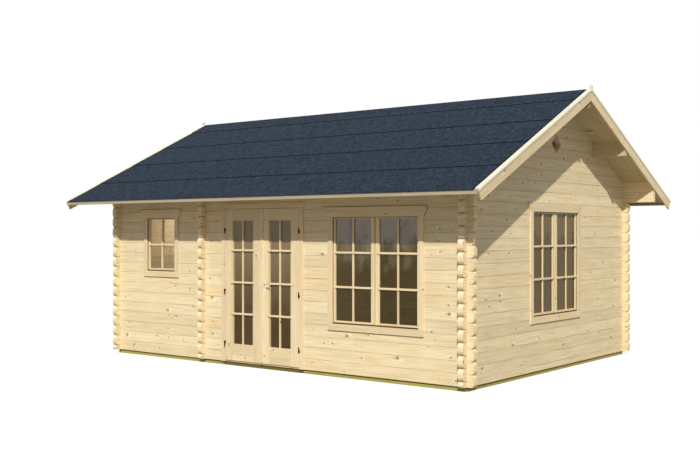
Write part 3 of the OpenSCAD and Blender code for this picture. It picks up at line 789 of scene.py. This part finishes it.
def lever_handles():
    """A round neck that bends into a slim tapered grip, on both faces of the leaf."""
    x, z = LEVER
    work = Joinery(DOOR_PLACE)
    sides, neck, bend = 20, 0.024, 0.014
    for face, out in LEAF_SIDES:
        path = [(0, 0.0), (0, 0.012), (0, neck)]
        path += [(bend - bend * math.cos(a), neck + bend * math.sin(a))
                 for a in [math.pi / 2 * i / 6 for i in range(1, 7)]]
        path += [(0.03, 0.0385), (0.05, 0.039), (0.075, 0.0385), (0.095, 0.037), (0.107, 0.0345),
                 (0.11, 0.033)]
        wide = [0.0088] * 8 + [0.0085, 0.0078, 0.007, 0.0066, 0.0064, 0.0058, 0.0036]
        tall = [0.0088] * 6 + [0.0092, 0.0096, 0.0102, 0.0106, 0.0104, 0.0098, 0.0092, 0.0078, 0.0042]
        rings = []
        for i, (dx, dy) in enumerate(path):
            before, after = path[max(0, i - 1)], path[min(len(path) - 1, i + 1)]
            run = Vector((after[0] - before[0], after[1] - before[1])).normalized()
            rings.append([
                (x + dx - run.y * wide[i] * math.cos(a),
                 face + out * (dy + run.x * wide[i] * math.cos(a)),
                 z + tall[i] * math.sin(a)) for a in turns(sides)])
        corners = [corner for ring in rings for corner in ring]
        quads = [[i * sides + k, i * sides + (k + 1) % sides, (i + 1) * sides + (k + 1) % sides,
                  (i + 1) * sides + k] for i in range(len(rings) - 1) for k in range(sides)]
        last = (len(rings) - 1) * sides
        ends = [list(range(sides)), list(range(last, last + sides))]
        work.solid(corners, quads + ends, ALONG, 0)
    for face in work.mesh.faces:
        face.smooth = len(face.verts) == 4
    work.finish("lever_handles", ["door_lever"], "door_lever", "steel", "steel")


lock_plates()
lever_handles()


# Roof

def slope(s, n):
    """Distance from the ridge in plan, and height, of a point s down the slope and n above it."""
    return (s * COS + n * SIN, RIDGE_TOP - s * SIN + n * COS)


def plumb(y, n):
    return slope((y - n * SIN) / COS, n)


def off_roof(side):
    """The direction straight off the front slope, where side is -1, or the back one."""
    return (0, side * SIN, COS)


def gable_place(side):
    """Elevation frame on the outer faces of the bargeboards; side is 1 on the right."""
    return (Matrix.Translation((side * ROOF_HALF, 0, 0))
            @ Matrix.Rotation(side * math.pi / 2, 4, "Z"))


def both_gables(name, replaced, front, outside, thick, outline, material="joinery", block=False):
    """The same sloping board on both gables, on the front or the back slope, set in by outside."""
    work = Joinery()
    for side in (1, -1):
        work.place = gable_place(side)
        turn = -side if front else side
        points = [(turn * y, z) for y, z in outline]
        work.board(points, outside, thick, (turn * COS, 0, -SIN), 0.003)
        if block:
            w = RIDGE_BLOCK[0] / 2
            middle, foot = (plumb(x, CAP_LIFT - 0.004)[1] for x in (0, w))
            crown = plumb(0, CAP_LIFT + CAP[1])[1] + RIDGE_BLOCK[1]
            work.board([(0, middle), (-w, foot), (-w, crown), (w, crown), (w, foot)],
                       0, BARGE[0], UP, 0.003)
    work.finish(name, [replaced], material=material)


BARGE_LINE = [plumb(0, CAP_LIFT - BARGE[1]), slope(EAVE_S, CAP_LIFT - BARGE[1]),
              slope(EAVE_S, CAP_LIFT), plumb(0, CAP_LIFT)]
CAP_LINE = [plumb(0, CAP_LIFT), plumb(EAVE_Y, CAP_LIFT), plumb(EAVE_Y, CAP_LIFT + CAP[1]),
            plumb(0, CAP_LIFT + CAP[1])]
# The caps stand a little past the bargeboards, and throw a thin shade on them
both_gables("front_bargeboard_planks", "front_bargeboards", True, BARGE_SET, BARGE[0], BARGE_LINE)
both_gables("back_bargeboard_planks", "back_bargeboards", False, BARGE_SET, BARGE[0], BARGE_LINE)
both_gables("front_cap_planks", "front_barge_caps", True, CAP_SET, CAP[0], CAP_LINE, "capping", True)
both_gables("back_cap_planks", "back_barge_caps", False, CAP_SET, CAP[0], CAP_LINE, "capping")

work = Joinery(gable_place(1))
inner, outer = plumb(EAVE_Y, 0), plumb(EAVE_Y + FASCIA[0], 0)
for side in (-1, 1):
    work.board([(side * inner[0], inner[1]), (side * outer[0], outer[1]),
                (side * outer[0], outer[1] - FASCIA[1]), (side * inner[0], outer[1] - FASCIA[1])],
               BARGE[0], 2 * ROOF_HALF - BARGE[0], (0, 1, 0))
work.finish("eave_fascia_planks", ["eave_fascias"], material="fascia")


# What repeats: boards side by side, nails and screws

def node_tree(name, sockets):
    """A geometry tree, a function that adds a node and gives its output, and its named inputs."""
    tree = bpy.data.node_groups.new(name, "GeometryNodeTree")
    for way in ("INPUT", "OUTPUT"):
        tree.interface.new_socket("Geometry", in_out=way, socket_type="NodeSocketGeometry")
    for label, kind in sockets.items():
        tree.interface.new_socket(label, in_out="INPUT", socket_type="NodeSocket" + kind)

    def add(kind, settings, inputs, output=0):
        return add_node(tree, kind, settings, inputs).outputs[output]
    return tree, add, tree.nodes.new("NodeGroupInput").outputs


def end_tree(tree, add, shape, material):
    finished = add("GeometryNodeSetMaterial", None, {"Geometry": shape, "Material": material})
    add_node(tree, "NodeGroupOutput", None, {"Geometry": finished})
    return tree


def boards_tree():
    tree, add, given = node_tree("boards_side_by_side", {
        "Count": "Int", "Step": "Vector", "Material": "Material", "Seed": "Int"})
    row = add("GeometryNodeMeshLine", {"mode": "OFFSET"}, {
        "Count": given["Count"], "Start Location": (0, 0, 0), "Offset": given["Step"]})
    placed = add("GeometryNodeInstanceOnPoints", None, {"Points": row, "Instance": given["Geometry"]})
    luck = add("FunctionNodeRandomValue", {"data_type": "FLOAT"}, {"Seed": given["Seed"]}, 1)
    toned = add("GeometryNodeStoreNamedAttribute", {"data_type": "FLOAT", "domain": "INSTANCE"}, {
        "Geometry": placed, "Name": "tone", "Value": luck})
    solid = add("GeometryNodeRealizeInstances", None, {"Geometry": toned})
    grain = add("GeometryNodeInputNamedAttribute", {"data_type": "FLOAT_VECTOR"}, {"Name": "grain"})
    tone = add("GeometryNodeInputNamedAttribute", {"data_type": "FLOAT"}, {"Name": "tone"})
    shift = add("ShaderNodeVectorMath", {"operation": "MULTIPLY_ADD"}, {
        0: tone, 1: (53.0, 0.05, 0.01), 2: grain})
    figured = add("GeometryNodeStoreNamedAttribute",
                  {"data_type": "FLOAT_VECTOR", "domain": "POINT"},
                  {"Geometry": solid, "Name": "grain", "Value": shift})
    return end_tree(tree, add, figured, given["Material"])


def heads_tree():
    tree, add, given = node_tree("heads_on_points", {
        "Radius": "Float", "Height": "Float", "Material": "Material", "Sides": "Int"})
    narrow = add("ShaderNodeMath", {"operation": "MULTIPLY"}, {0: given["Radius"], 1: 0.62})
    head = add("GeometryNodeMeshCone", None, {
        "Vertices": given["Sides"], "Depth": given["Height"], "Radius Bottom": given["Radius"],
        "Radius Top": narrow})
    facing = add("GeometryNodeInputNamedAttribute", {"data_type": "FLOAT_VECTOR"}, {"Name": "facing"})
    turn = add("FunctionNodeAlignRotationToVector", {"axis": "Z"}, {"Vector": facing})
    points = add("GeometryNodeMeshToPoints", None, {"Mesh": given["Geometry"]})
    placed = add("GeometryNodeInstanceOnPoints", None, {
        "Points": points, "Instance": head, "Rotation": turn})
    solid = add("GeometryNodeRealizeInstances", None, {"Geometry": placed})
    return end_tree(tree, add, solid, given["Material"])


def grow(name, base, tree, values):
    """Runs a tree on a base mesh and keeps the result as a plain mesh."""
    source = in_scene(name + "_source", base)
    modifier = source.modifiers.new("tree", "NODES")
    modifier.node_group = tree
    for item in tree.interface.items_tree:
        if item.item_type == "SOCKET" and item.in_out == "INPUT" and item.name in values:
            modifier[item.identifier] = values[item.name]
    source.update_tag()
    graph = bpy.context.evaluated_depsgraph_get()
    data = bpy.data.meshes.new_from_object(source.evaluated_get(graph), depsgraph=graph)
    data.name = name
    bpy.data.objects.remove(source)
    return in_scene(name, data)


BOARDS = boards_tree()
HEADS = heads_tree()


def board_mesh(place, outline, y0, y1, along):
    work = Joinery(place)
    work.board(outline, y0, y1, along)
    data = bpy.data.meshes.new("one_board")
    work.mesh.to_mesh(data)
    work.mesh.free()
    data.attributes.remove(data.attributes["tone"])
    return data


def roof_boarding(side, name, replaced, count=70):
    """Boards from the eave to the ridge; side is -1 on the front slope."""
    width = 2 * (ROOF_HALF - CAP[0]) / count
    drop = BOARD_T * math.tan(PITCH)
    eave = EAVE_Y / COS
    outline = [slope(s, n) for s, n in ((drop, -BOARD_T), (drop, 0), (eave, 0), (eave, -BOARD_T))]
    run = (side * COS, 0, -SIN)
    x_end = 2 * ROOF_HALF - CAP[0]
    one = board_mesh(gable_place(1), [(side * y, z) for y, z in outline],
                     x_end - width + BOARD_GAP, x_end, run)
    piece = grow(name, one, BOARDS, {"Count": count, "Step": (width, 0, 0),
                                     "Material": FINISHES["boarding"], "Seed": 5 + side})
    settle(piece, "cabin", [replaced])


roof_boarding(-1, "front_roof_boarding", "front_roof_boards")
roof_boarding(1, "back_roof_boarding", "back_roof_boards")


def floor_planks(count=38):
    """Planks along X in both rooms, just clear of the partition."""
    low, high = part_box("floor_boards")
    clear = LOG_T / 2 + 0.005
    rooms = ((low.x, PARTITION_X - clear), (PARTITION_X + clear, high.x))
    width = (high.y - low.y) / count
    made = []
    for i, (x0, x1) in enumerate(rooms):
        one = board_mesh(Matrix(), oblong(x0, x1, low.z, high.z),
                         low.y, low.y + width - BOARD_GAP, ALONG)
        made.append(grow(f"floor_planks_{i + 1}", one, BOARDS, {
            "Count": count, "Step": (0, width, 0), "Material": FINISHES["flooring"], "Seed": 11 + i}))
    for piece in made:
        settle(piece, "cabin")
    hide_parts("floor_boards")


floor_planks()


def heads(name, body, points, radius, height, material, sides=8):
    """Nail or screw heads at points [(place, direction)]."""
    data = bpy.data.meshes.new(name + "_points")
    data.from_pydata([place for place, way in points], [], [])
    facing = data.attributes.new("facing", "FLOAT_VECTOR", "POINT")
    facing.data.foreach_set("vector", [part for place, way in points for part in way])
    piece = grow(name, data, HEADS, {"Radius": radius, "Height": height,
                                     "Material": FINISHES[material], "Sides": sides})
    settle(piece, body)


def felt_nails():
    """Nails along the laps, the eaves and the gable edges of the felt."""
    points = []
    rows = [RIDGE_STRIP + i * FELT_STRIP - 0.025 for i in range(4)] + [2.965]
    for side in (-1, 1):
        for row, s in enumerate(rows):
            y, z = slope(s, FELT_TOP - (0.0015 if row else 0.0))
            x = -ROOF_HALF + CAP[0] + 0.04
            while x < ROOF_HALF - CAP[0] - 0.02:
                points.append(((x + random.uniform(-0.006, 0.006), side * y, z), off_roof(side)))
                x += 0.1
    heads("felt_nails", "cabin", points, 0.005, 0.0012, "zinc")


felt_nails()


def casing_nails():
    """Nails in the boards round the openings, the bargeboards, the caps and the fascias."""
    nails = []
    for place, (w, h) in ((FRONT_PLACE, WIDE), (SMALL_PLACE, SMALL), (GABLE_PLACE, WIDE)):
        spots = [(x, z) for x in (-w / 2 - CASING_W / 2, w / 2 + CASING_W / 2)
                 for z in (0.05, h * 0.35, h * 0.65, h - 0.05)]
        for i in range(5):
            x = (i / 4 - 0.5) * (w + CASING_W)
            spots += [(x, h + HEAD_H / 2), (x, -APRON_H / 2)]
        out = tuple(place.to_3x3() @ Vector(OUT))
        nails += [(tuple(place @ Vector((x, -CASING_T, z))), out) for x, z in spots]
    for side in (-1, 1):
        x = DOOR_X + side * (DOOR_HALF + DOOR_CASING_W * 0.7)
        nails += [((x, FACE_Y - CASING_T, BASE + z), OUT) for z in (0.1, 0.55, 1.1, 1.4, 1.9)]
    for side in (-1, 1):
        for half in (-1, 1):
            for i in range(7):
                down = 0.2 + i * 0.44
                for n in (-0.045, -0.10):
                    y, z = slope(down, n)
                    nails.append(((side * (ROOF_HALF - BARGE_SET), half * y, z), (side, 0, 0)))
                y, z = slope(down, CAP_LIFT + CAP[1])
                nails.append(((side * (ROOF_HALF - CAP[0] / 2), half * y, z), off_roof(half)))
    for side in (-1, 1):
        y, z = side * (EAVE_Y + FASCIA[0]), plumb(EAVE_Y, 0)[1] - 0.035
        nails += [((-3.2 + i * 0.582, y, z), (0, side, 0)) for i in range(12)]
    heads("casing_nails", "cabin", nails, 0.0022, 0.0008, "zinc")


casing_nails()


# Two screws in each half of the hinges; the leaf's half points up, and the casing's down
for part, x_off, depth, up in (("leaf", -0.011, LEAF_FACE - 0.0025, 1),
                               ("casing", 0.0105, FACE_Y - CASING_T - 0.003, -1)):
    for hand, side in (("right", 1), ("left", -1)):
        x = DOOR_X + side * (DOOR_HALF - LEAF_GAP / 2) + side * x_off
        heads(f"{hand}_{part}_screws", f"{hand}_door" if part == "leaf" else "cabin",
              [((x, depth, BASE + z + up * lift), OUT) for z in HINGE_Z for lift in (0.009, 0.025)],
              0.0026, 0.0008, "dark_metal", 10)


# Finishes of the solids that stay

for material, names in {
        "log_x": ("front_wall_left", "front_wall_right", "front_wall_over_door",
                  "front_plate_logs", "back_wall", "back_plate_logs"),
        "log_y": ("right_gable_wall", "right_gable_top", "left_gable_wall", "partition_wall",
                  "partition_top"),
        "ridge": ("ridge_purlin",),
        "purlin": ("side_purlins",),
        "green_x": ("foundation_beams",),
        "green_y": ("foundation_joists",),
        "felt": ("front_roof_felt", "back_roof_felt", "ridge_felt"),
        "glass": ("front_window_glass",),
        "gable_glass": ("gable_window_glass",),
        "small_glass": ("small_window_glass",),
        "door_glass": ("left_door_glass", "right_door_glass"),
        "dark_metal": ("hinge_pins", "left_door_hinges", "right_door_hinges")}.items():
    for name in names:
        nodes[name].data.materials.clear()
        nodes[name].data.materials.append(FINISHES[material])


# Floor, light and camera

def backdrop_finish(name):
    """White where it is seen, and a grey that other light meets."""
    finish = Finish(name)
    matt = finish.node("ShaderNodeBsdfDiffuse", None, {"Color": (0.3, 0.29, 0.27, 1)})
    pale = finish.node("ShaderNodeBsdfDiffuse", None, {"Color": (0.25, 0.25, 0.25, 1)})
    glow = finish.node("ShaderNodeEmission", None, {"Color": (1, 1, 1, 1), "Strength": 0.82})
    both = finish.node("ShaderNodeAddShader", None, {0: pale, 1: glow})
    return finish.end(finish.node("ShaderNodeMixShader", None, {0: finish.seen(), 1: matt, 2: both}))


REACH = 150
data = bpy.data.meshes.new("ground")
data.from_pydata([(x, y, 0) for x, y in oblong(-REACH, REACH, -REACH, REACH)], [], [(0, 1, 2, 3)])
data.materials.append(backdrop_finish("ground"))
ground = in_scene("ground", data)

world = bpy.data.worlds.new("studio")
bpy.context.scene.world = world
sky = Finish(owner=world)
soft = sky.node("ShaderNodeBackground", None, {"Color": (0.93, 0.96, 1.0, 1), "Strength": 0.32})
white = sky.node("ShaderNodeBackground", None, {"Color": (1, 1, 1, 1), "Strength": 1.0})
sky.end(sky.node("ShaderNodeMixShader", None, {0: sky.seen(), 1: soft, 2: white}),
        "ShaderNodeOutputWorld")

lamp = bpy.data.lights.new("sun", "SUN")
lamp.energy = 1.09 * math.pi
lamp.color = (1.0, 0.98, 0.94)
lamp.angle = math.radians(1.0)
TOWARDS_SUN = Vector((0.449, -0.654, 0.609))
in_scene("sun", lamp).rotation_euler = TOWARDS_SUN.to_track_quat("Z", "Y").to_euler()

# Daylight in the rooms, which the small window shows bright
for name, place, energy in (("small_room", (-2.0, -0.6, 2.25), 19),
                            ("main_room", (0.9, 0, 2.25), 14)):
    room = bpy.data.lights.new(name + "_daylight", "AREA")
    room.energy = energy
    room.size = 1.2
    in_scene(name + "_daylight", room).location = place

# The photograph's viewpoint, 1.73 m up and looking level
lens = bpy.data.cameras.new("camera")
lens.sensor_width = 36
lens.lens = 51.163
lens.shift_y = -0.00163
lens.clip_end = 400
camera = in_scene("camera", lens)
camera.location = (8.523, -11.410, 1.730)
camera.rotation_euler = (math.pi / 2, 0, math.radians(37.857))
bpy.context.scene.camera = camera
bpy.context.scene.view_settings.view_transform = "Standard"
